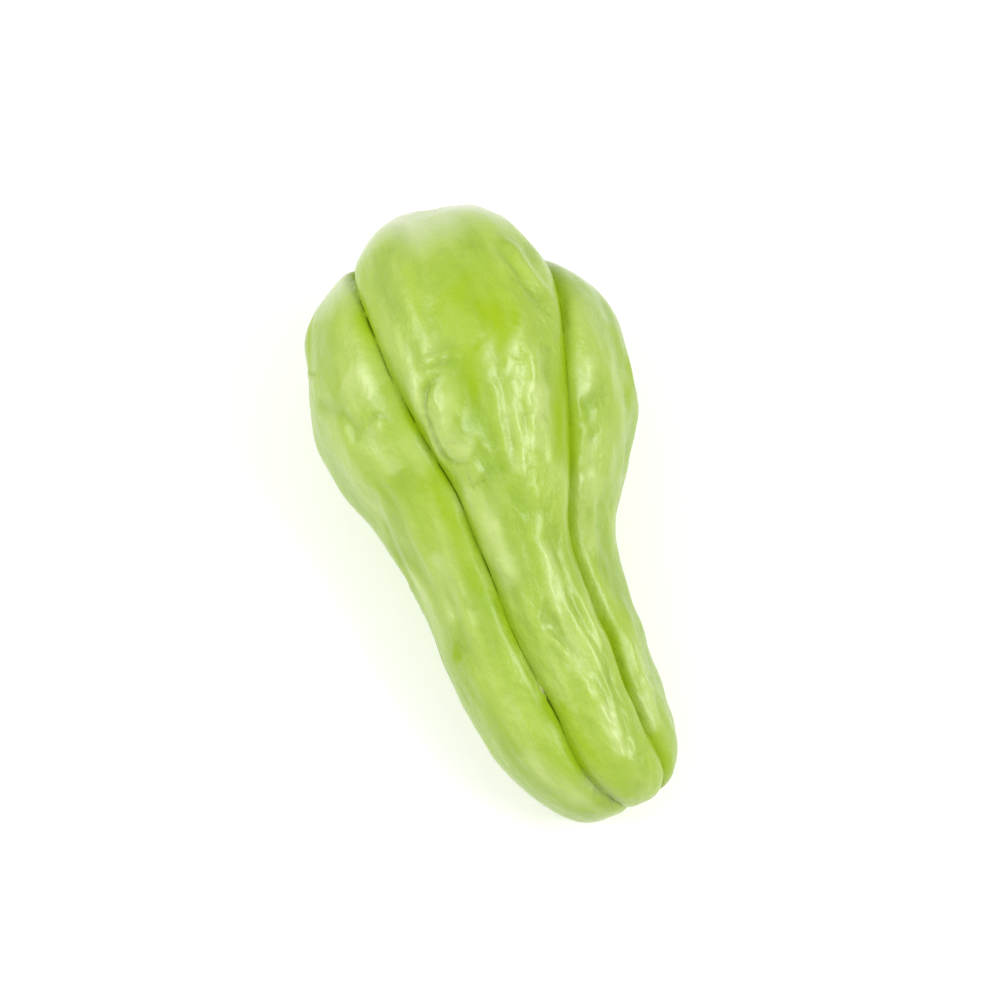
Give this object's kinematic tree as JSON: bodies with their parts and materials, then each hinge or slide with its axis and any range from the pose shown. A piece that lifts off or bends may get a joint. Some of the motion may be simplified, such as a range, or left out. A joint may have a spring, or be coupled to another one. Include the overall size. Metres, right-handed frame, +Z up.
{
  "type": "chayote squash",
  "caption": "Pear-shaped chayote squash with lengthwise furrows, a narrow stem end and a cleft blossom end, lying on its side.",
  "frame": {"origin": "on the surface that the fruit rests on, under the middle of its box", "axes": "+Y along the fruit from the narrow stem end to the wide blossom end, +Z up, +X to the right as seen from the stem end"},
  "size_m": [0.0784, 0.1496, 0.0664],
  "materials": {
    "skin": "smooth, slightly waxy yellow-green fruit skin with a soft gloss and fine pebbling"
  },
  "bodies": {
    "root": {"chayote": "skin"}
  },
  "joints": []
}
